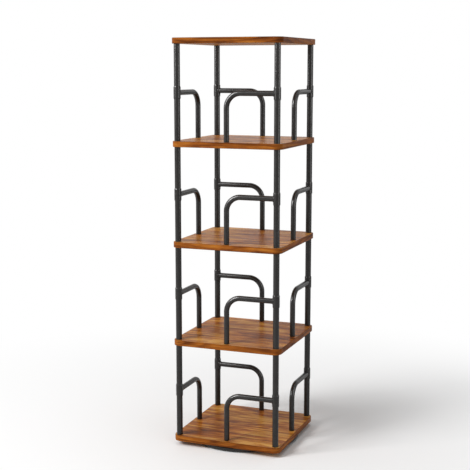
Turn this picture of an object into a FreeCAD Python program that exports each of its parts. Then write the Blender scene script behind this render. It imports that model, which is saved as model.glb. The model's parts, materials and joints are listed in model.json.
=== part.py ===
import FreeCAD
import Part

import math
import os

# A revolving bookcase: five square boards held apart by steel corner posts, a bent guard rail on
# each side of each tier, and a round steel base that carries the tower on a flat ball bearing.
# Sizes are in millimetres, +Z is up, and the origin is on the floor on the turning axis.

# Boards
BOARD_SIDE = 300.0
BOARD_THICKNESS = 15.0
BOARD_CORNER_RADIUS = 20.0
BOARD_EDGE_CHAMFER = 1.0
BOARD_NAMES = ("bottom_board", "second_board", "third_board", "fourth_board", "top_board")

# Corner posts
POST_DIAMETER = 16.0
POST_WALL = 1.0
POST_LENGTH = 248.0
POST_INSET = 14.0  # board edge to post axis
POST_CORNERS = ("front_right", "back_right", "back_left", "front_left")

# Guard rails
RAIL_DIAMETER = 14.0
RAIL_WALL = 1.0
RAIL_BEND_RADIUS = 38.0  # at the tube's centreline
RAIL_HEIGHT = 124.0  # board top to the level run's centreline
RAIL_SPAN = 136.0  # post axis to leg axis
RAIL_SIDES = ("front", "right", "back", "left")
SLEEVE_WALL = 1.1
SLEEVE_LENGTH = 32.0
SLEEVE_TAPER_LENGTH = 2.0
SLEEVE_TAPER_DEPTH = 0.6
SLEEVE_CLEARANCE = 0.15  # radial, round the post
WELD_GAP = 0.1  # coped end of the tube to the sleeve

# Studs and bolts that join the posts through the boards
STUD_DIAMETER = 6.0
STUD_GRIP = 12.0  # length held in a post
BOLT_HEAD_DIAMETER = 12.0
BOLT_SOCKET_WIDTH = 4.0
POST_INSERT_LENGTH = 15.0

# Screws that hold the feet of the guard rails
RAIL_SCREW_DIAMETER = 5.0
RAIL_SCREW_GRIP = 10.0  # length held in a rail foot
RAIL_SCREW_HEAD_DIAMETER = 10.0
RAIL_SCREW_SOCKET_WIDTH = 3.0
RAIL_INSERT_LENGTH = 12.0

# Fits shared by all fasteners
HEAD_SINK = 0.3  # a countersunk head lies this far below the board's face
SOCKET_DEPTH = 2.0
HEX_SIDES = 6
HOLE_CLEARANCE = 0.3  # radial, a screw in a board or a plate
THREAD_CLEARANCE = 0.1  # radial, a screw in its thread, which is drawn plain
INSERT_CLEARANCE = 0.03  # radial, an insert in its tube

# Base
TRAY_INSET = 1.0  # edge of the bottom board to the tray's rim
TRAY_SHEET = 1.5
TRAY_BEND_RADIUS = 2.5  # inside the turned-up rim
TRAY_RIM_GAP = 2.0  # rim to the underside of the bottom board
FOOT_DIAMETER = 24.0
FOOT_HEIGHT = 2.5
FOOT_EDGE = 0.6
FOOT_INSET = 24.0  # tray's rim to foot centre
FOOT_COUNT = 6

# Ball bearing
RACE_RADIUS = 70.0
BALL_DIAMETER = 5.0
BALL_COUNT = 18
BALL_CLEARANCE = 0.15
GROOVE_DEPTH = 1.0
PLATE_SHEET = 1.0
PLATEAU_HALF_WIDTH = 8.0  # race circle to the ramp
FLANGE_WIDTH = 18.0
RACE_TO_LIP = 9.0  # race circle to the edge of the curled lip
LIP_OVERLAP = 3.0
LIP_SIDE_CLEARANCE = 2.0
LIP_CLEARANCE = 0.4
LIP_HEADROOM = 0.6
CAGE_WIDTH = 8.0
CAGE_THICKNESS = 1.8

# Fasteners of the bearing
FIXING_COUNT = 4
RIVET_DIAMETER = 4.0
RIVET_HEAD_DIAMETER = 8.0
RIVET_HEAD_HEIGHT = 1.2
RIVET_TAIL_DIAMETER = 7.0
RIVET_TAIL_HEIGHT = 0.8
WOOD_SCREW_DIAMETER = 3.5
WOOD_SCREW_LENGTH = 11.0  # below the head
WOOD_SCREW_HEAD_DIAMETER = 8.0
WOOD_SCREW_HEAD_HEIGHT = 2.2
PILOT_CLEARANCE = 0.05  # radial, a wood screw in its pilot hole
PILOT_EXTRA_DEPTH = 1.0
ACCESS_HOLE_DIAMETER = 10.0

# Heights and radii that follow from the sizes above
TIER_COUNT = len(BOARD_NAMES) - 1
TIER_PITCH = BOARD_THICKNESS + POST_LENGTH
POST_OFFSET = BOARD_SIDE / 2 - POST_INSET
POST_RADIUS = POST_DIAMETER / 2
POST_BORE = POST_RADIUS - POST_WALL
RAIL_RADIUS = RAIL_DIAMETER / 2
RAIL_BORE = RAIL_RADIUS - RAIL_WALL
RAIL_FOOT_X = POST_OFFSET - RAIL_SPAN
SLEEVE_BORE = POST_RADIUS + SLEEVE_CLEARANCE
SLEEVE_RADIUS = SLEEVE_BORE + SLEEVE_WALL
BALL_RADIUS = BALL_DIAMETER / 2
RACE_HALF_GAP = BALL_RADIUS - GROOVE_DEPTH
LIP_UNDERSIDE = RACE_HALF_GAP + PLATE_SHEET + LIP_CLEARANCE
BEARING_HALF_HEIGHT = LIP_UNDERSIDE + PLATE_SHEET + LIP_HEADROOM
TRAY_RADIUS = BOARD_SIDE / 2 - TRAY_INSET
TRAY_TOP = FOOT_HEIGHT + TRAY_SHEET
BALL_HEIGHT = TRAY_TOP + BEARING_HALF_HEIGHT
STACK_BASE = TRAY_TOP + 2 * BEARING_HALF_HEIGHT
LIP_RADIUS = RACE_RADIUS - RACE_TO_LIP
UPPER_PLATE_BORE = LIP_RADIUS - LIP_OVERLAP
UPRIGHT_RADIUS = UPPER_PLATE_BORE - LIP_SIDE_CLEARANCE
RAMP_RADIUS = RACE_RADIUS + PLATEAU_HALF_WIDTH
FLANGE_BORE = RAMP_RADIUS + BEARING_HALF_HEIGHT - PLATE_SHEET - RACE_HALF_GAP
FLANGE_RADIUS = FLANGE_BORE + FLANGE_WIDTH
FIXING_RADIUS = FLANGE_BORE + FLANGE_WIDTH / 2

HALF_STEP = 180.0 / FIXING_COUNT  # screws and access hole lie between the rivets
CUT_MARGIN = 1.0  # cutting shapes run this far past the faces that they cut
ORIGIN = FreeCAD.Vector(0, 0, 0)
UP = FreeCAD.Vector(0, 0, 1)


def vector(x, y, z):
    return FreeCAD.Vector(x, y, z)


def shifted(shape, x, y, z):
    copy = shape.copy()
    copy.translate(vector(x, y, z))
    return copy


def turned_about_axis(shape, degrees):
    copy = shape.copy()
    copy.rotate(ORIGIN, UP, degrees)
    return copy


def ring(shape, count, start=0.0):
    """Copies of a shape, evenly spaced round the turning axis."""
    return [turned_about_axis(shape, start + i * 360.0 / count) for i in range(count)]


def line(start, end):
    """A straight profile edge between two (radius, height) points."""
    return Part.LineSegment(vector(start[0], 0, start[1]), vector(end[0], 0, end[1])).toShape()


def arc(start, middle, end):
    """A round profile edge through three (radius, height) points."""
    points = [vector(radius, 0, height) for radius, height in (start, middle, end)]
    return Part.Arc(*points).toShape()


def outline(points):
    """Straight profile edges from each point to the next."""
    return [line(start, end) for start, end in zip(points, points[1:])]


def revolved(edges):
    """The solid of a closed (radius, height) profile turned once round the Z axis."""
    return Part.Face(Part.Wire(edges)).revolve(ORIGIN, UP, 360.0)


def revolved_points(points):
    return revolved(outline(points + points[:1]))


def tube(radius, bore, length):
    outside = Part.makeCylinder(radius, length)
    inside = Part.makeCylinder(bore, length)
    return outside.cut(inside)


def save(name, solids):
    Part.makeCompound(solids).exportStep(os.path.join("parts", name + ".step"))


def board_base(index):
    """Height of a board's underside, counted from the bottom board."""
    return STACK_BASE + index * TIER_PITCH


# Countersunk screws, drawn with the face of the head at height 0 and the tip below

def countersunk_points(thread_diameter, head_diameter, length, growth=0.0):
    """Profile from the head's rim to the tip of a screw, or with growth of the hole that takes it."""
    thread = thread_diameter / 2 + growth
    head = head_diameter / 2 + growth
    cone_end = -(head_diameter - thread_diameter) / 2
    return [(head, 0), (thread, cone_end), (thread, -length), (0, -length)]


def countersunk_screw(thread_diameter, head_diameter, socket_width, length):
    points = [(0, 0)] + countersunk_points(thread_diameter, head_diameter, length)
    corner = vector(socket_width / math.sqrt(3), 0, -SOCKET_DEPTH)
    corners = [FreeCAD.Rotation(UP, i * 360.0 / HEX_SIDES).multVec(corner) for i in range(HEX_SIDES + 1)]
    socket = Part.Face(Part.makePolygon(corners)).extrude(UP * (SOCKET_DEPTH + CUT_MARGIN))
    return revolved_points(points).cut(socket)


def countersunk_hole(thread_diameter, head_diameter):
    """Cuts right through a board, from a face at height HEAD_SINK above the head."""
    length = BOARD_THICKNESS + CUT_MARGIN
    rise = HEAD_SINK + CUT_MARGIN
    points = countersunk_points(thread_diameter, head_diameter, length, HOLE_CLEARANCE)
    rim_radius = points[0][0]
    return revolved_points([(0, rise), (rim_radius, rise)] + points)


def upside_down(shape):
    copy = shape.copy()
    copy.rotate(ORIGIN, vector(1, 0, 0), 180.0)
    return copy


# Base: rubber feet under a pressed steel tray with a turned-up rim

def rubber_foot():
    radius = FOOT_DIAMETER / 2
    pad = revolved_points(
        [(0, 0), (radius - FOOT_EDGE, 0), (radius, FOOT_EDGE), (radius, FOOT_HEIGHT), (0, FOOT_HEIGHT)]
    )
    return shifted(pad, TRAY_RADIUS - FOOT_INSET, 0, 0)


def access_hole():
    """Lets a driver reach the screws above the tray, one at a time, as the tower is turned."""
    hole = Part.makeCylinder(ACCESS_HOLE_DIAMETER / 2, BALL_HEIGHT, vector(FIXING_RADIUS, 0, 0))
    return turned_about_axis(hole, HALF_STEP)


def rivet_holes():
    hole = Part.makeCylinder(RIVET_DIAMETER / 2 + HOLE_CLEARANCE, BALL_HEIGHT, vector(FIXING_RADIUS, 0, 0))
    return ring(hole, FIXING_COUNT)


def base_tray():
    inside = TRAY_RADIUS - TRAY_SHEET
    bend = inside - TRAY_BEND_RADIUS
    bend_height = TRAY_TOP + TRAY_BEND_RADIUS
    rim = STACK_BASE - TRAY_RIM_GAP
    outer_bend = TRAY_BEND_RADIUS + TRAY_SHEET
    diagonal = math.sqrt(0.5)
    outer_middle = (bend + outer_bend * diagonal, bend_height - outer_bend * diagonal)
    inner_middle = (bend + TRAY_BEND_RADIUS * diagonal, bend_height - TRAY_BEND_RADIUS * diagonal)
    edges = outline([(bend, TRAY_TOP), (0, TRAY_TOP), (0, FOOT_HEIGHT), (bend, FOOT_HEIGHT)])
    edges.append(arc((bend, FOOT_HEIGHT), outer_middle, (TRAY_RADIUS, bend_height)))
    edges += outline(
        [(TRAY_RADIUS, bend_height), (TRAY_RADIUS, rim), (inside, rim), (inside, bend_height)]
    )
    edges.append(arc((inside, bend_height), inner_middle, (bend, TRAY_TOP)))
    return revolved(edges).cut([access_hole()] + rivet_holes())


# Ball bearing: two pressed plates with facing grooves, the lower one curled over the upper one

def race_plate(inner_edge, side):
    """A plate below (side -1) or above (side 1) the balls, with the given points for its inner edge."""

    def point(radius, distance):
        return (radius, BALL_HEIGHT + side * distance)

    groove = BALL_RADIUS + BALL_CLEARANCE
    back = groove + PLATE_SHEET
    plateau = RACE_HALF_GAP
    plateau_back = plateau + PLATE_SHEET
    flange = BEARING_HALF_HEIGHT - PLATE_SHEET
    groove_half = math.sqrt(groove**2 - plateau**2)
    back_half = math.sqrt(back**2 - plateau_back**2)
    bend_shift = PLATE_SHEET * math.tan(math.pi / 8)
    groove_start = point(RACE_RADIUS + groove_half, plateau)
    groove_end = point(RACE_RADIUS - groove_half, plateau)
    back_start = point(RACE_RADIUS - back_half, plateau_back)
    back_end = point(RACE_RADIUS + back_half, plateau_back)
    flange_face = [point(FLANGE_RADIUS, flange), point(FLANGE_BORE, flange), point(RAMP_RADIUS, plateau)]
    flange_back = [
        point(RAMP_RADIUS - bend_shift, plateau_back),
        point(FLANGE_BORE - bend_shift, BEARING_HALF_HEIGHT),
        point(FLANGE_RADIUS, BEARING_HALF_HEIGHT),
    ]
    edges = outline(flange_face + [groove_start])
    edges.append(arc(groove_start, point(RACE_RADIUS, groove), groove_end))
    edges += outline([groove_end] + [point(*corner) for corner in inner_edge] + [back_start])
    edges.append(arc(back_start, point(RACE_RADIUS, back), back_end))
    edges += outline([back_end] + flange_back + flange_face[:1])
    return revolved(edges)


def bearing_lower_plate():
    lip_top = LIP_UNDERSIDE + PLATE_SHEET
    bore = UPRIGHT_RADIUS - PLATE_SHEET
    curled_lip = [
        (UPRIGHT_RADIUS, RACE_HALF_GAP),
        (UPRIGHT_RADIUS, -LIP_UNDERSIDE),
        (LIP_RADIUS, -LIP_UNDERSIDE),
        (LIP_RADIUS, -lip_top),
        (bore, -lip_top),
        (bore, RACE_HALF_GAP + PLATE_SHEET),
    ]
    return race_plate(curled_lip, -1).cut([access_hole()] + rivet_holes())


def bearing_upper_plate():
    plain_edge = [(UPPER_PLATE_BORE, RACE_HALF_GAP), (UPPER_PLATE_BORE, RACE_HALF_GAP + PLATE_SHEET)]
    radius = WOOD_SCREW_DIAMETER / 2 + HOLE_CLEARANCE
    hole = Part.makeCylinder(radius, STACK_BASE, vector(FIXING_RADIUS, 0, 0))
    return race_plate(plain_edge, 1).cut(ring(hole, FIXING_COUNT, HALF_STEP))


def bearing_rivet():
    shank = RIVET_DIAMETER / 2
    head = RIVET_HEAD_DIAMETER / 2
    tail = RIVET_TAIL_DIAMETER / 2
    head_base = TRAY_TOP + PLATE_SHEET
    head_top = head_base + RIVET_HEAD_HEIGHT
    tail_base = FOOT_HEIGHT - RIVET_TAIL_HEIGHT
    dome_radius = (head**2 + RIVET_HEAD_HEIGHT**2) / (2 * RIVET_HEAD_HEIGHT)
    half_angle = math.asin(head / dome_radius) / 2
    dome_drop = dome_radius * (1 - math.cos(half_angle))
    dome_middle = (dome_radius * math.sin(half_angle), head_top - dome_drop)
    edges = [arc((0, head_top), dome_middle, (head, head_base))]
    edges += outline(
        [
            (head, head_base),
            (shank, head_base),
            (shank, FOOT_HEIGHT),
            (tail, FOOT_HEIGHT),
            (tail, tail_base),
            (0, tail_base),
            (0, head_top),
        ]
    )
    return shifted(revolved(edges), FIXING_RADIUS, 0, 0)


def ball_cage():
    inner = RACE_RADIUS - CAGE_WIDTH / 2
    outer = RACE_RADIUS + CAGE_WIDTH / 2
    base = BALL_HEIGHT - CAGE_THICKNESS / 2
    band = shifted(tube(outer, inner, CAGE_THICKNESS), 0, 0, base)
    pocket = Part.makeCylinder(BALL_RADIUS + BALL_CLEARANCE, CAGE_THICKNESS, vector(RACE_RADIUS, 0, base))
    return band.cut(ring(pocket, BALL_COUNT))


def bearing_ball():
    return Part.makeSphere(BALL_RADIUS, vector(RACE_RADIUS, 0, BALL_HEIGHT))


def bearing_screw():
    shank = WOOD_SCREW_DIAMETER / 2
    head = WOOD_SCREW_HEAD_DIAMETER / 2
    head_top = STACK_BASE - PLATE_SHEET
    tip = head_top + WOOD_SCREW_LENGTH
    points = [
        (0, head_top - WOOD_SCREW_HEAD_HEIGHT),
        (head, head_top - WOOD_SCREW_HEAD_HEIGHT),
        (head, head_top),
        (shank, head_top),
        (shank, tip - WOOD_SCREW_DIAMETER),
        (0, tip),
    ]
    return shifted(revolved_points(points), FIXING_RADIUS, 0, 0)


# Boards: square plates with rounded corners and eased edges, bored for the posts and rail feet

def plain_board():
    corner = vector(-BOARD_SIDE / 2, -BOARD_SIDE / 2, 0)
    plate = Part.makeBox(BOARD_SIDE, BOARD_SIDE, BOARD_THICKNESS, corner)
    uprights = [edge for edge in plate.Edges if edge.BoundBox.ZLength > BOARD_THICKNESS / 2]
    plate = plate.makeFillet(BOARD_CORNER_RADIUS, uprights)
    rims = [edge for edge in plate.Edges if edge.BoundBox.ZLength < BOARD_THICKNESS / 2]
    return plate.makeChamfer(BOARD_EDGE_CHAMFER, rims)


def post_holes(index):
    if index == 0:
        hole = shifted(upside_down(countersunk_hole(STUD_DIAMETER, BOLT_HEAD_DIAMETER)), 0, 0, HEAD_SINK)
    elif index == TIER_COUNT:
        head_height = BOARD_THICKNESS - HEAD_SINK
        hole = shifted(countersunk_hole(STUD_DIAMETER, BOLT_HEAD_DIAMETER), 0, 0, head_height)
    else:
        length = BOARD_THICKNESS + 2 * CUT_MARGIN
        hole = Part.makeCylinder(STUD_DIAMETER / 2 + HOLE_CLEARANCE, length, vector(0, 0, -CUT_MARGIN))
    return ring(shifted(hole, POST_OFFSET, -POST_OFFSET, 0), len(POST_CORNERS))


def rail_foot_holes():
    hole = upside_down(countersunk_hole(RAIL_SCREW_DIAMETER, RAIL_SCREW_HEAD_DIAMETER))
    return ring(shifted(hole, RAIL_FOOT_X, -POST_OFFSET, HEAD_SINK), len(RAIL_SIDES))


def pilot_holes():
    """Blind holes for the bearing's screws in the bottom board."""
    radius = WOOD_SCREW_DIAMETER / 2 + PILOT_CLEARANCE
    depth = WOOD_SCREW_LENGTH - PLATE_SHEET + PILOT_EXTRA_DEPTH
    hole = Part.makeCylinder(radius, depth + CUT_MARGIN, vector(FIXING_RADIUS, 0, -CUT_MARGIN))
    return ring(hole, FIXING_COUNT, HALF_STEP)


def board(index):
    cuts = post_holes(index)
    if index < TIER_COUNT:
        cuts += rail_foot_holes()
    if index == 0:
        cuts += pilot_holes()
    return shifted(plain_board().cut(cuts), 0, 0, board_base(index))


# Posts: one tube at each corner of each tier, with a threaded insert in both ends

def post(tier):
    place = (POST_OFFSET, -POST_OFFSET, board_base(tier) + BOARD_THICKNESS)
    return shifted(tube(POST_RADIUS, POST_BORE, POST_LENGTH), *place)


def post_inserts(tier):
    insert = tube(
        POST_BORE - INSERT_CLEARANCE, STUD_DIAMETER / 2 + THREAD_CLEARANCE, POST_INSERT_LENGTH
    )
    base = board_base(tier) + BOARD_THICKNESS
    heights = (base, base + POST_LENGTH - POST_INSERT_LENGTH)
    return [shifted(insert, POST_OFFSET, -POST_OFFSET, height) for height in heights]


def joining_stud(index):
    length = BOARD_THICKNESS + 2 * STUD_GRIP
    place = vector(POST_OFFSET, -POST_OFFSET, board_base(index) - STUD_GRIP)
    return Part.makeCylinder(STUD_DIAMETER / 2, length, place)


def board_bolt():
    length = BOARD_THICKNESS - HEAD_SINK + STUD_GRIP
    return countersunk_screw(STUD_DIAMETER, BOLT_HEAD_DIAMETER, BOLT_SOCKET_WIDTH, length)


def bottom_board_bolt():
    return shifted(upside_down(board_bolt()), POST_OFFSET, -POST_OFFSET, STACK_BASE + HEAD_SINK)


def top_board_bolt():
    top = board_base(TIER_COUNT) + BOARD_THICKNESS
    return shifted(board_bolt(), POST_OFFSET, -POST_OFFSET, top - HEAD_SINK)


# Guard rails: a bent tube, coped and welded to a sleeve that slips over the corner post

def bent_bar(radius):
    """A round bar up the rail's leg, round its bend and along its level run to the post's axis."""
    foot = vector(RAIL_FOOT_X, -POST_OFFSET, 0)
    leg_top = foot + vector(0, 0, RAIL_HEIGHT - RAIL_BEND_RADIUS)
    run_start = foot + vector(RAIL_BEND_RADIUS, 0, RAIL_HEIGHT)
    run_end = vector(POST_OFFSET, -POST_OFFSET, RAIL_HEIGHT)
    inward = RAIL_BEND_RADIUS * (1 - math.sqrt(0.5))
    bend_middle = foot + vector(inward, 0, RAIL_HEIGHT - inward)
    path = Part.Wire(
        [
            Part.LineSegment(foot, leg_top).toShape(),
            Part.Arc(leg_top, bend_middle, run_start).toShape(),
            Part.LineSegment(run_start, run_end).toShape(),
        ]
    )
    return path.makePipe(Part.Face(Part.Wire(Part.makeCircle(radius, foot, UP))))


def guard_rail(tier):
    cope = Part.makeCylinder(SLEEVE_RADIUS + WELD_GAP, POST_LENGTH, vector(POST_OFFSET, -POST_OFFSET, 0))
    rail = bent_bar(RAIL_RADIUS).cut([bent_bar(RAIL_BORE), cope])
    return shifted(rail, 0, 0, board_base(tier) + BOARD_THICKNESS)


def rail_sleeve(tier):
    half = SLEEVE_LENGTH / 2
    shoulder = half - SLEEVE_TAPER_LENGTH
    small = SLEEVE_RADIUS - SLEEVE_TAPER_DEPTH
    points = [
        (SLEEVE_BORE, -half),
        (small, -half),
        (SLEEVE_RADIUS, -shoulder),
        (SLEEVE_RADIUS, shoulder),
        (small, half),
        (SLEEVE_BORE, half),
    ]
    height = board_base(tier) + BOARD_THICKNESS + RAIL_HEIGHT
    return shifted(revolved_points(points), POST_OFFSET, -POST_OFFSET, height)


def rail_foot_insert(tier):
    insert = tube(
        RAIL_BORE - INSERT_CLEARANCE, RAIL_SCREW_DIAMETER / 2 + THREAD_CLEARANCE, RAIL_INSERT_LENGTH
    )
    return shifted(insert, RAIL_FOOT_X, -POST_OFFSET, board_base(tier) + BOARD_THICKNESS)


def rail_foot_screw(tier):
    length = BOARD_THICKNESS - HEAD_SINK + RAIL_SCREW_GRIP
    screw = countersunk_screw(
        RAIL_SCREW_DIAMETER, RAIL_SCREW_HEAD_DIAMETER, RAIL_SCREW_SOCKET_WIDTH, length
    )
    return shifted(upside_down(screw), RAIL_FOOT_X, -POST_OFFSET, board_base(tier) + HEAD_SINK)


# Write every piece, from the floor up

os.makedirs("parts", exist_ok=True)
tiers = range(TIER_COUNT)

save("rubber_feet", ring(rubber_foot(), FOOT_COUNT))
save("base_tray", [base_tray()])
save("bearing_lower_plate", [bearing_lower_plate()])
save("bearing_rivets", ring(bearing_rivet(), FIXING_COUNT))
save("ball_cage", [ball_cage()])
save("bearing_balls", ring(bearing_ball(), BALL_COUNT))
save("bearing_upper_plate", [bearing_upper_plate()])
save("bearing_screws", ring(bearing_screw(), FIXING_COUNT, HALF_STEP))

for index, name in enumerate(BOARD_NAMES):
    save(name, [board(index)])

for tier in tiers:
    for corner, solid in zip(POST_CORNERS, ring(post(tier), len(POST_CORNERS))):
        save(f"post_tier{tier + 1}_{corner}", [solid])
    for side, solid in zip(RAIL_SIDES, ring(guard_rail(tier), len(RAIL_SIDES))):
        save(f"guard_rail_tier{tier + 1}_{side}", [solid])
    save(f"rail_sleeves_tier{tier + 1}", ring(rail_sleeve(tier), len(RAIL_SIDES)))

corners = len(POST_CORNERS)
sides = len(RAIL_SIDES)
inserts = [insert for tier in tiers for insert in post_inserts(tier)]
save("post_inserts", [copy for insert in inserts for copy in ring(insert, corners)])
save("joining_studs", [copy for tier in tiers[1:] for copy in ring(joining_stud(tier), corners)])
save("bottom_board_bolts", ring(bottom_board_bolt(), corners))
save("top_board_bolts", ring(top_board_bolt(), corners))
save("rail_foot_inserts", [copy for tier in tiers for copy in ring(rail_foot_insert(tier), sides)])
save("rail_foot_screws", [copy for tier in tiers for copy in ring(rail_foot_screw(tier), sides)])
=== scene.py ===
import json
import math

import bpy
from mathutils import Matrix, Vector

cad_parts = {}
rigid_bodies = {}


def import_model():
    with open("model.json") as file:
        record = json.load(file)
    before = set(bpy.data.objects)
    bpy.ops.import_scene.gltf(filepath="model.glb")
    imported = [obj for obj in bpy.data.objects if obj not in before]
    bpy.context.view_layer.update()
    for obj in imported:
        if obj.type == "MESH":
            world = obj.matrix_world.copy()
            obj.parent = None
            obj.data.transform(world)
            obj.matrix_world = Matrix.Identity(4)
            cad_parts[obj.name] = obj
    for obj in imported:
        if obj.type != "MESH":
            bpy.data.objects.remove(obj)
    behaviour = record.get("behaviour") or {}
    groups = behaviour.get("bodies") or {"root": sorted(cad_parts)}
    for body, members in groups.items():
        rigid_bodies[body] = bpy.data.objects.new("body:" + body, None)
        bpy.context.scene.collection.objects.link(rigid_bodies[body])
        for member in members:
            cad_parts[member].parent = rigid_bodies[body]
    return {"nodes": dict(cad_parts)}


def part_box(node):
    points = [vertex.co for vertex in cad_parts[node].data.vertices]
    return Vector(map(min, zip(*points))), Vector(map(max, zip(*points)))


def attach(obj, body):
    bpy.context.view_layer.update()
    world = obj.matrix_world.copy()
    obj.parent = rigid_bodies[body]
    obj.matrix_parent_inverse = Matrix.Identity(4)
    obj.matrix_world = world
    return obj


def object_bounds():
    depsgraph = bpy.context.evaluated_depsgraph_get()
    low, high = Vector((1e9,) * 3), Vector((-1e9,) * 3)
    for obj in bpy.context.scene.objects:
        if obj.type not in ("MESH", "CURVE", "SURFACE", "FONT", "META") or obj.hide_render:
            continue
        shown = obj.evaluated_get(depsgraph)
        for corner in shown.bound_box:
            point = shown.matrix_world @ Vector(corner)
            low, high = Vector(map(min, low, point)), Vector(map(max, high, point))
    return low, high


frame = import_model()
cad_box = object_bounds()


# Rubber feet: six round moulded pads of black rubber, glued under the base tray.
# They are all that touches the floor. The mould leaves a dull, finely pitted skin.

nodes = frame["nodes"]
MM = 0.001
RUBBER_BLACK = (0.012, 0.012, 0.013)
RUBBER_BLOOM = (0.034, 0.033, 0.032)
RUBBER_PIT_DEPTH = 0.08 * MM


class Signal:
    """An output socket of a node tree. Arithmetic on signals adds Math nodes to the tree."""

    def __init__(self, tree, socket=None):
        self.tree = tree
        self.socket = socket

    def node(self, kind, settings=None, sockets=None, output=0):
        """Adds a node: its settings are set first, then the values or links of its sockets."""
        made = self.tree.nodes.new(kind)
        for name, value in (settings or {}).items():
            if name == "stops":
                set_stops(made.color_ramp.elements, value)
            else:
                setattr(made, name, value)
        for name, value in (sockets or {}).items():
            if isinstance(value, Signal):
                value.into(made.inputs[name])
            else:
                made.inputs[name].default_value = value
        return Signal(self.tree, made.outputs[output] if made.outputs else None)

    def into(self, socket):
        """Links this signal to an input socket."""
        self.tree.links.new(self.socket, socket)

    def math(self, operation, *values):
        """A Math node on these values."""
        return self.node("ShaderNodeMath", {"operation": operation}, dict(enumerate(values)))

    def __add__(self, other):
        return self.math("ADD", self, other)

    def __sub__(self, other):
        return self.math("SUBTRACT", self, other)

    def __rsub__(self, other):
        return self.math("SUBTRACT", other, self)

    def __mul__(self, other):
        return self.math("MULTIPLY", self, other)

    def __abs__(self):
        return self.math("ABSOLUTE", self)

    __radd__ = __add__
    __rmul__ = __mul__

    def fraction(self):
        """What follows the decimal point of this value."""
        return self.math("FRACT", self)

    def larger(self, other):
        """The larger of two values."""
        return self.math("MAXIMUM", self, other)

    def axis(self, name):
        """One coordinate of this vector: X, Y or Z."""
        return self.node("ShaderNodeSeparateXYZ", {}, {"Vector": self}, name)

    def placed(self, scale, shift):
        """This vector, stretched and then moved."""
        return self.node("ShaderNodeMapping", {}, {"Vector": self, "Scale": scale, "Location": shift})

    def noise(self, scale, detail):
        """Soft noise from 0 to 1 over this vector, with about scale lumps to the metre."""
        return self.node("ShaderNodeTexNoise", {}, {"Vector": self, "Scale": scale, "Detail": detail})

    def streaks(self, along, across, detail, start=(0, 0, 0)):
        """Noise drawn out along X, with about these many lumps to the metre along X and across it."""
        return self.placed((along, across, across), start).noise(1, detail)

    def step(self, low, high):
        """0 below low, 1 above high, with a smooth rise between them."""
        sockets = {"Value": self, "From Min": low, "From Max": high}
        return self.node("ShaderNodeMapRange", {"interpolation_type": "SMOOTHSTEP"}, sockets)

    def colours(self, stops):
        """A colour ramp read at this value."""
        return self.node("ShaderNodeValToRGB", {"stops": stops}, {"Fac": self})

    def mix(self, under, over):
        """A colour: under where this value is 0, over where it is 1."""
        factor, first, second, result = 0, 6, 7, 2
        sockets = {factor: self, first: under, second: over}
        return self.node("ShaderNodeMix", {"data_type": "RGBA"}, sockets, result)

    def bump(self, depth):
        """A normal for a surface that is depth metres higher where this value is 1."""
        return self.node("ShaderNodeBump", {}, {"Height": self, "Distance": depth})


def set_stops(elements, stops):
    """Gives a colour ramp these stops, each a position and a colour."""
    while len(elements) < len(stops):
        elements.new(1.0)
    for element, (position, colour) in zip(elements, stops):
        element.position = position
        element.color = (*colour, 1.0)


def new_finish(name, **constants):
    """A material, its shader's sockets and its Object coordinates. Constants go on the sockets."""
    material = bpy.data.materials.new(name)
    material.use_nodes = True
    sockets = material.node_tree.nodes["Principled BSDF"].inputs
    for socket, value in constants.items():
        sockets[socket.replace("_", " ")].default_value = value
    place = Signal(material.node_tree).node("ShaderNodeTexCoord", output="Object")
    return material, sockets, place


def dress(material, *names):
    """Gives a finish to the pieces with these names."""
    for name in names:
        nodes[name].material_slots[0].material = material


def moulded_rubber():
    material, sockets, place = new_finish("moulded_rubber", Specular_IOR_Level=0.3)
    bloom = place.noise(scale=90, detail=3)
    pits = place.noise(scale=1600, detail=2)
    bloom.colours([(0.3, RUBBER_BLACK), (0.75, RUBBER_BLOOM)]).into(sockets["Base Color"])
    (0.68 + 0.2 * bloom).into(sockets["Roughness"])
    pits.bump(RUBBER_PIT_DEPTH).into(sockets["Normal"])
    return material


dress(moulded_rubber(), "rubber_feet")


# Base tray: a round pan pressed from steel sheet, its rim turned up to stiffen it.
# It is powder coated black with the rest of the steelwork, which leaves a fine orange-peel skin.

COAT_BLACK = (0.0105, 0.0092, 0.0083)
COAT_CLOUD = (0.0165, 0.0145, 0.013)
COAT_PEEL_DEPTH = 0.008 * MM


def powder_coat():
    material, sockets, place = new_finish("black_powder_coat", Specular_IOR_Level=0.35)
    cloud = place.noise(scale=35, detail=3)
    peel = place.noise(scale=620, detail=2)
    grit = place.noise(scale=2600, detail=1)
    cloud.colours([(0.3, COAT_BLACK), (0.7, COAT_CLOUD)]).into(sockets["Base Color"])
    (0.21 + 0.08 * cloud + 0.05 * grit).into(sockets["Roughness"])
    (peel + 0.2 * grit).bump(COAT_PEEL_DEPTH).into(sockets["Normal"])
    return material


black_powder_coat = powder_coat()
dress(black_powder_coat, "base_tray")


# Flat ball bearing: two race plates pressed from zinc-plated strip, the lower one curled over the
# upper one so that they can't part. Rivets hold it to the tray, screws to the bottom board.

ZINC_GREY = (0.47, 0.48, 0.5)
ZINC_SPANGLE = (0.66, 0.66, 0.64)
ZINC_ROLLING_DEPTH = 0.01 * MM


def zinc_plate():
    material, sockets, place = new_finish("zinc_plate", Metallic=1.0)
    spangle = place.noise(scale=70, detail=2)
    rolling = place.streaks(along=40, across=900, detail=2)
    spangle.colours([(0.3, ZINC_GREY), (0.7, ZINC_SPANGLE)]).into(sockets["Base Color"])
    (0.22 + 0.16 * spangle + 0.1 * rolling).into(sockets["Roughness"])
    rolling.bump(ZINC_ROLLING_DEPTH).into(sockets["Normal"])
    return material


bright_zinc = zinc_plate()
dress(bright_zinc, "bearing_lower_plate", "bearing_upper_plate", "bearing_rivets", "bearing_screws")


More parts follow.
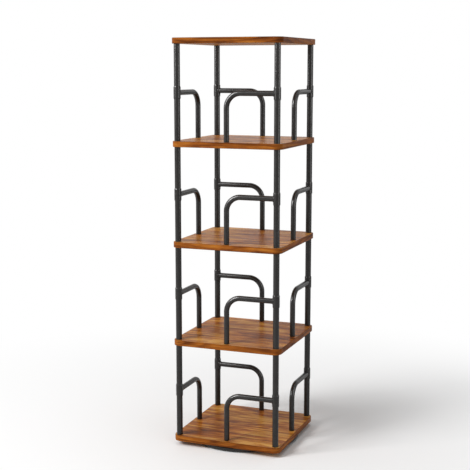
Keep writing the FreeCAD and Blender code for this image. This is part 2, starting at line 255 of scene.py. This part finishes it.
# Ball cage and balls: a moulded nylon ring keeps eighteen hardened steel balls apart in their race.
# The balls are ground and polished, and carry a thin film of grease.

NYLON_IVORY = (0.66, 0.64, 0.57)
NYLON_PALE = (0.76, 0.75, 0.7)
NYLON_PIT_DEPTH = 0.03 * MM
BALL_COLOUR = (0.68, 0.68, 0.7, 1)
GREASE_COLOUR = (0.5, 0.46, 0.38, 1)


def moulded_nylon():
    material, sockets, place = new_finish("moulded_nylon", Specular_IOR_Level=0.4)
    tint = place.noise(scale=120, detail=3)
    pits = place.noise(scale=1500, detail=2)
    tint.colours([(0.3, NYLON_IVORY), (0.7, NYLON_PALE)]).into(sockets["Base Color"])
    (0.4 + 0.15 * tint).into(sockets["Roughness"])
    pits.bump(NYLON_PIT_DEPTH).into(sockets["Normal"])
    return material


def polished_steel():
    material, sockets, place = new_finish("polished_ball_steel", Metallic=1.0)
    grease = place.noise(scale=400, detail=3).step(0.45, 0.7)
    grease.mix(BALL_COLOUR, GREASE_COLOUR).into(sockets["Base Color"])
    (0.06 + 0.16 * grease).into(sockets["Roughness"])
    return material


dress(moulded_nylon(), "ball_cage")
dress(polished_steel(), "bearing_balls")


# Boards: five particle boards faced with brown printed wood grain under a clear satin melamine film.
# The grain runs from left to right, and each board is cut from another place in the print.

BOARDS = ("bottom_board", "second_board", "third_board", "fourth_board", "top_board")
PRINT_SHIFT = (0.37, 0.61, 0.23)  # metres between the cuts of two boards in the print
GRAIN_COLOURS = [
    (0.12, (0.060, 0.016, 0.004)),
    (0.34, (0.165, 0.044, 0.008)),
    (0.52, (0.300, 0.088, 0.012)),
    (0.68, (0.405, 0.140, 0.020)),
    (0.88, (0.560, 0.255, 0.048)),
    (1.00, (0.640, 0.330, 0.075)),
]
PORE_COLOUR = (0.042, 0.013, 0.004, 1)
# The faces' print is lighter than the bands'. Part of that is painted light: the faces are made
# lighter as if more light fell on them from above.
FACE_LIGHTNESS_WITH_PAINTED_LIGHT = -1.07
FACE_CONTRAST = 1.25
FACE_PORE_DEPTH = 0.05 * MM
RINGS = 15  # growth rings from the lowest to the highest value of the growth noise


def wood_grain(flow, lightness, contrast):
    """Colour and pore mask of the print, over a vector in metres with the grain along its X."""
    patches = flow.streaks(along=7, across=20, detail=3)
    growth = flow.streaks(along=1.6, across=11, detail=2, start=(0.7, 0, 0))
    rings = (RINGS * growth).fraction()
    latewood = rings.step(0.3, 0.88) - rings.step(0.9, 1.0)
    figure = flow.streaks(along=4, across=70, detail=4)
    mottle = flow.streaks(along=26, across=80, detail=2, start=(2.3, 0, 0))
    fibres = flow.streaks(along=9, across=900, detail=4)
    veins = flow.streaks(along=3.5, across=170, detail=4, start=(4.1, 0, 0)).step(0.56, 0.68)
    pores = flow.streaks(along=70, across=1900, detail=1, start=(0, 7.3, 0)).step(0.6, 0.72)
    tone = 0.9 * patches + 0.8 * figure + 0.45 * mottle + 0.75 * fibres - 0.2 * latewood
    ground = (contrast * tone + lightness).colours(GRAIN_COLOURS)
    return (0.6 * veins + 0.3 * pores).mix(ground, PORE_COLOUR), pores


def wood_laminate(board, index):
    material, sockets, place = new_finish(f"wood_laminate_{board}", Specular_IOR_Level=0.04)
    cut = place.placed((1, 1, 1), [index * shift for shift in PRINT_SHIFT])
    # Partly painted light: the face lightness makes this print lighter than the bands' print.
    grain, pores = wood_grain(cut, FACE_LIGHTNESS_WITH_PAINTED_LIGHT, FACE_CONTRAST)
    smears = place.noise(scale=24, detail=3)
    grain.into(sockets["Base Color"])
    (0.28 + 0.12 * smears + 0.1 * pores).into(sockets["Roughness"])
    (1 - pores).bump(FACE_PORE_DEPTH).into(sockets["Normal"])
    return material


for index, board in enumerate(BOARDS):
    dress(wood_laminate(board, index), board)


# Edge bands: a strip of printed plastic, almost a millimetre thick, glued round each board's edge.
# After gluing it is trimmed level with the faces, and its arrises are scraped round.
# Its two ends meet in a butt joint at the back.

BAND_THICKNESS = 0.9 * MM
BAND_PROUD = 0.05 * MM  # outside the board's edge
BAND_SINK = 0.03 * MM  # below the board's faces
CORNER_RADIUS = 20 * MM  # of the board
CORNER_SEGMENTS = 14
ARRIS_RADIUS = 1.0 * MM
ARRIS_SEGMENTS = 3
LEVEL = 0.99  # least Z of a level face's normal, up or down
SMOOTH_ANGLE = math.radians(50)
BAND_LIGHTNESS = -0.645
BAND_CONTRAST = 0.8
BAND_PORE_DEPTH = 0.04 * MM
BAND_SEED_START = 1.23  # metres into the print, for the bottom board's band
BAND_SEED_STEP = 0.41  # metres between two bands in the print
# Painted shade: the band's colour darkens towards both arrises, as if shade fell on the rounded edges.
ARRIS_PAINTED_SHADE_COLOUR = (0.05, 0.018, 0.007, 1)
ARRIS_SHADE = 0.55  # share of that painted shade on the rounded arris
ARRIS_FADE = 1.1 * MM  # from the board's face to where the shade begins
ARRIS_FULL = 0.3 * MM  # from the board's face to where the shade is full
SEAM_COLOUR = (0.03, 0.012, 0.005, 1)
SEAM_PLACE = 60 * MM  # along the back edge, from its middle
SEAM_HALF_WIDTH = 0.15 * MM
SEAM_HALF_CORE = 0.06 * MM  # the part that has the full colour


def select(piece, kind, wanted):
    """Goes to edit mode with just those edges or faces selected for which wanted is true."""
    bpy.ops.object.mode_set(mode="EDIT")
    bpy.ops.mesh.select_mode(type=kind)
    bpy.ops.mesh.select_all(action="DESELECT")
    bpy.ops.object.mode_set(mode="OBJECT")
    parts = piece.data.edges if kind == "EDGE" else piece.data.polygons
    for part in parts:
        part.select = wanted(part)
    bpy.ops.object.mode_set(mode="EDIT")


def apply_modifier(piece, kind, **settings):
    """Adds a modifier with these settings and applies it."""
    modifier = piece.modifiers.new(kind.lower(), kind)
    for name, value in settings.items():
        setattr(modifier, name, value)
    bpy.ops.object.modifier_apply(modifier=modifier.name)


def settle():
    """Puts the place, turn and scale of the selected piece into its mesh."""
    bpy.ops.object.transform_apply(location=True, rotation=True, scale=True)


def placed_copy(piece, name, lift, turn=0):
    """A copy with a mesh of its own, turned about the tower's axis and lifted."""
    copy = piece.copy()
    copy.data = piece.data.copy()
    copy.name = name
    bpy.context.collection.objects.link(copy)
    bpy.ops.object.select_all(action="DESELECT")
    copy.select_set(True)
    bpy.context.view_layer.objects.active = copy
    copy.rotation_euler.z = turn
    copy.location.z = lift
    settle()
    return copy


def edge_band(board):
    """The band of a board: a block with rounded corners and arrises, opened and given a thin wall."""
    low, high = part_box(board)
    size = high - low + 2 * Vector((BAND_PROUD, BAND_PROUD, -BAND_SINK))
    bpy.ops.object.select_all(action="DESELECT")
    bpy.ops.mesh.primitive_cube_add(size=1, location=(low + high) / 2, scale=size)
    settle()
    band = bpy.context.object

    def is_upright(edge):
        first, last = (band.data.vertices[index].co.z for index in edge.vertices)
        return abs(first - last) > size.z / 2

    def is_level(face):
        return abs(face.normal.z) > LEVEL

    select(band, "EDGE", is_upright)
    bpy.ops.mesh.bevel(offset=CORNER_RADIUS + BAND_PROUD, segments=CORNER_SEGMENTS, affect="EDGES")
    select(band, "EDGE", lambda edge: not is_upright(edge))
    bpy.ops.mesh.bevel(offset=ARRIS_RADIUS, segments=ARRIS_SEGMENTS, affect="EDGES")
    select(band, "FACE", is_level)
    bpy.ops.mesh.delete(type="FACE")
    bpy.ops.object.mode_set(mode="OBJECT")
    apply_modifier(band, "SOLIDIFY", thickness=BAND_THICKNESS, offset=-1, use_even_offset=True)
    bpy.ops.object.shade_smooth_by_angle(angle=SMOOTH_ANGLE)
    return band


def band_print(board, index):
    """The print on a band: its grain follows the edge, its arrises are darkened with painted shade,
    and its joint is darker.
    """
    material, sockets, place = new_finish(f"wood_edge_band_{board}", Specular_IOR_Level=0.05)
    low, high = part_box(board)
    middle_height = (low.z + high.z) / 2
    half = (high.z - low.z) / 2
    x, y, z = (place.axis(name) for name in "XYZ")
    seed = BAND_SEED_START + index * BAND_SEED_STEP
    flow = place.node("ShaderNodeCombineXYZ", {}, {"X": x + y, "Y": z, "Z": seed})
    grain, pores = wood_grain(flow, BAND_LIGHTNESS, BAND_CONTRAST)
    arris = abs(z - middle_height).step(half - ARRIS_FADE, half - ARRIS_FULL)
    at_back = y.step(0, MM)
    seam = (1 - abs(x - SEAM_PLACE).step(SEAM_HALF_CORE, SEAM_HALF_WIDTH)) * at_back
    # Painted shade on the arrises: near both arrises the print is mixed towards a dark colour.
    arris_shaded_print = (ARRIS_SHADE * arris).mix(grain, ARRIS_PAINTED_SHADE_COLOUR)
    seam.mix(arris_shaded_print, SEAM_COLOUR).into(sockets["Base Color"])
    (0.42 + 0.1 * pores + 0.12 * arris).into(sockets["Roughness"])
    (1 - pores - seam).bump(BAND_PORE_DEPTH).into(sockets["Normal"])
    return material


first_band = edge_band(BOARDS[0])
first_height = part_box(BOARDS[0])[0].z
for index, board in enumerate(BOARDS):
    band = placed_copy(first_band, f"edge_band_{board}", lift=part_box(board)[0].z - first_height)
    band.data.materials.append(band_print(board, index))
    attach(band, "tower")
bpy.data.objects.remove(first_band)


# Corner posts: sixteen lengths of round steel tube, powder coated black, with a threaded steel
# insert pressed into each end. Studs through the boards join a post to the one above it.

TIERS = range(1, len(BOARDS))
CORNERS = ("front_right", "back_right", "back_left", "front_left")
dress(black_powder_coat, *(f"post_tier{tier}_{corner}" for tier in TIERS for corner in CORNERS))
dress(bright_zinc, "post_inserts", "joining_studs")


# Bolts and screws: countersunk heads with a hexagon socket, sunk into the boards' faces.
# They are black-oxide steel, slightly oily and a little browner where the oxide is thin.

OXIDE_BLACK = (0.022, 0.022, 0.024)
OXIDE_THIN = (0.06, 0.055, 0.05)


def black_oxide():
    material, sockets, place = new_finish("black_oxide_steel", Metallic=0.85)
    thin = place.noise(scale=260, detail=3)
    thin.colours([(0.35, OXIDE_BLACK), (0.75, OXIDE_THIN)]).into(sockets["Base Color"])
    (0.3 + 0.2 * thin).into(sockets["Roughness"])
    return material


dress(black_oxide(), "bottom_board_bolts", "top_board_bolts", "rail_foot_screws")


# Guard rails: steel tube bent through a quarter circle, one on each side of each tier.
# The leg stands on the board on a screw, and the level run ends at a sleeve on the post.

SIDES = ("front", "right", "back", "left")
dress(black_powder_coat, *(f"guard_rail_tier{tier}_{side}" for tier in TIERS for side in SIDES))
dress(black_powder_coat, *(f"rail_sleeves_tier{tier}" for tier in TIERS))
dress(bright_zinc, "rail_foot_inserts")


# Weld beads: a fillet weld runs round the end of each rail where it meets its sleeve.
# It is laid in overlapping ripples, and coated over with the rest of the steelwork.

BEAD_RADIUS = 1.1 * MM
BEAD_SPREAD = 0.3 * MM  # from the tube's skin to the middle of the bead
BEAD_SECTION = 8  # points round the bead
RIPPLES = 26
RIPPLE_HEIGHT = 0.18 * MM
QUARTER_TURN = math.pi / 2

post_low, post_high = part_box("post_tier1_front_right")
rail_low, rail_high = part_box("guard_rail_tier1_front")
sleeve_low, sleeve_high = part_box("rail_sleeves_tier1")
post_axis = (post_low + post_high) / 2
rail_radius = (rail_high.y - rail_low.y) / 2
sleeve_radius = sleeve_high.x - post_axis.x
run_height = (sleeve_low.z + sleeve_high.z) / 2
tier_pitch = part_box("rail_sleeves_tier2")[0].z - sleeve_low.z


def weld_bead():
    """A bead for the front rail of the lowest tier: a rippled ring, bent round the sleeve."""
    ring_radius = rail_radius + BEAD_SPREAD
    bpy.ops.object.select_all(action="DESELECT")
    bpy.ops.mesh.primitive_torus_add(
        major_radius=ring_radius,
        minor_radius=BEAD_RADIUS,
        major_segments=2 * RIPPLES,
        minor_segments=BEAD_SECTION,
        rotation=(QUARTER_TURN, 0, 0),
    )
    bead = bpy.context.object
    settle()

    def on_ripple(face):
        turn = math.atan2(face.center.z, face.center.x) / math.tau % 1
        return int(turn * 2 * RIPPLES) % 2 == 0

    select(bead, "FACE", on_ripple)
    bpy.ops.transform.shrink_fatten(value=RIPPLE_HEIGHT)
    bpy.ops.object.mode_set(mode="OBJECT")
    unrolled = sleeve_radius * math.asin(ring_radius / sleeve_radius)
    bead.scale.x = unrolled / ring_radius
    settle()
    bend = bead.dimensions.x / sleeve_radius
    apply_modifier(bead, "SIMPLE_DEFORM", deform_method="BEND", deform_axis="Z", angle=bend)
    apply_modifier(bead, "SUBSURF", levels=1, render_levels=1)
    bead.rotation_euler.z = -QUARTER_TURN
    bead.location = (post_axis.x - sleeve_radius, post_axis.y, run_height)
    settle()
    bpy.ops.object.shade_smooth()
    return bead


first_bead = weld_bead()
for tier in TIERS:
    for quarter, side in enumerate(SIDES):
        name = f"weld_bead_tier{tier}_{side}"
        bead = placed_copy(first_bead, name, lift=(tier - 1) * tier_pitch, turn=quarter * QUARTER_TURN)
        bead.data.materials.append(black_powder_coat)
        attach(bead, "tower")
bpy.data.objects.remove(first_bead)


# Studio floor: a wide pale sheet that takes the shadow close to the object.
# Further out the camera sees it as plain white.

FLOOR_SIDE = 60.0
FLOOR_COLOUR = (0.94, 0.94, 0.94, 1)
FADE_START = 0.2  # metres from the tower's axis
FADE_END = 1.4

bpy.ops.object.select_all(action="DESELECT")
bpy.ops.mesh.primitive_plane_add(size=FLOOR_SIDE)
floor = bpy.context.object
floor.name = "floor"
pale = bpy.data.materials.new("pale_floor")
pale.use_nodes = True
pale.node_tree.nodes.clear()
start = Signal(pale.node_tree)
place = start.node("ShaderNodeTexCoord", output="Object")
distance = place.node("ShaderNodeVectorMath", {"operation": "LENGTH"}, {0: place}, "Value")
camera_ray = start.node("ShaderNodeLightPath", output="Is Camera Ray")
lit = start.node("ShaderNodeBsdfDiffuse", {}, {"Color": FLOOR_COLOUR})
white = start.node("ShaderNodeEmission")
whiteness = camera_ray * distance.step(FADE_START, FADE_END)
surface = start.node("ShaderNodeMixShader", {}, {0: whiteness, 1: lit, 2: white})
start.node("ShaderNodeOutputMaterial", {}, {"Surface": surface})
floor.data.materials.append(pale)


# Studio light: a white room, a large softbox high at the front left that no piece mirrors, and a
# faint one overhead. Two tall strips, left and right, only draw highlights along the steelwork.

WHITE = (1, 1, 1, 1)
ROOM_LIGHT = 0.37  # strength of the room as a light, which is 1 where the room itself is seen

world = bpy.data.worlds.new("white_room")
bpy.context.scene.world = world
world.use_nodes = True
world.node_tree.nodes.clear()
start = Signal(world.node_tree)
camera_ray = start.node("ShaderNodeLightPath", output="Is Camera Ray")
glossy_ray = start.node("ShaderNodeLightPath", output="Is Glossy Ray")
transmission_ray = start.node("ShaderNodeLightPath", output="Is Transmission Ray")
seen = camera_ray.larger(glossy_ray).larger(transmission_ray)
strength = ROOM_LIGHT + (1 - ROOM_LIGHT) * seen
room = start.node("ShaderNodeBackground", {}, {"Color": WHITE, "Strength": strength})
start.node("ShaderNodeOutputWorld", {}, {"Surface": room})

middle = (cad_box[0] + cad_box[1]) / 2


def softbox(name, place, width, height, watts):
    """A rectangular lamp that faces the middle of the object."""
    data = bpy.data.lights.new(name, "AREA")
    data.shape = "RECTANGLE"
    data.size = width
    data.size_y = height
    data.energy = watts
    lamp = bpy.data.objects.new(name, data)
    lamp.location = place
    lamp.rotation_euler = (middle - Vector(place)).to_track_quat("-Z", "Y").to_euler()
    bpy.context.collection.objects.link(lamp)
    return lamp


key = softbox("key_softbox", place=(-2.7, -3.5, 3.9), width=2.2, height=2.2, watts=250)
key.visible_glossy = False
softbox("top_softbox", place=(0, 0, 3.2), width=2.0, height=2.0, watts=18)
left_strip = softbox("left_softbox", place=(-2.25, -2.0, 2.2), width=1.0, height=2.2, watts=250)
right_strip = softbox("right_softbox", place=(2.8, -0.4, 1.4), width=1.0, height=2.4, watts=50)
steelwork = bpy.data.collections.new("steelwork")
for piece in bpy.data.objects:
    if piece.active_material == black_powder_coat:
        steelwork.objects.link(piece)
for strip in (left_strip, right_strip):
    strip.visible_diffuse = False
    strip.light_linking.receiver_collection = steelwork


# Camera: to the right of the front, just below the height of the top board.
# Its lens has no shift, so it looks slightly down to take in the whole tower.

CAMERA_PLACE = (1.002, -2.659, 1.004)
CAMERA_TURN = math.radians(21.2)  # to the left of straight ahead
CAMERA_DROP = math.radians(8.9)  # below level
CAMERA_LENS = 81.8  # millimetres

camera_data = bpy.data.cameras.new("camera")
camera_data.lens = CAMERA_LENS
camera = bpy.data.objects.new("camera", camera_data)
camera.location = CAMERA_PLACE
camera.rotation_euler = (math.pi / 2 - CAMERA_DROP, 0, CAMERA_TURN)
bpy.context.collection.objects.link(camera)
bpy.context.scene.camera = camera
bpy.context.scene.view_settings.view_transform = "Standard"
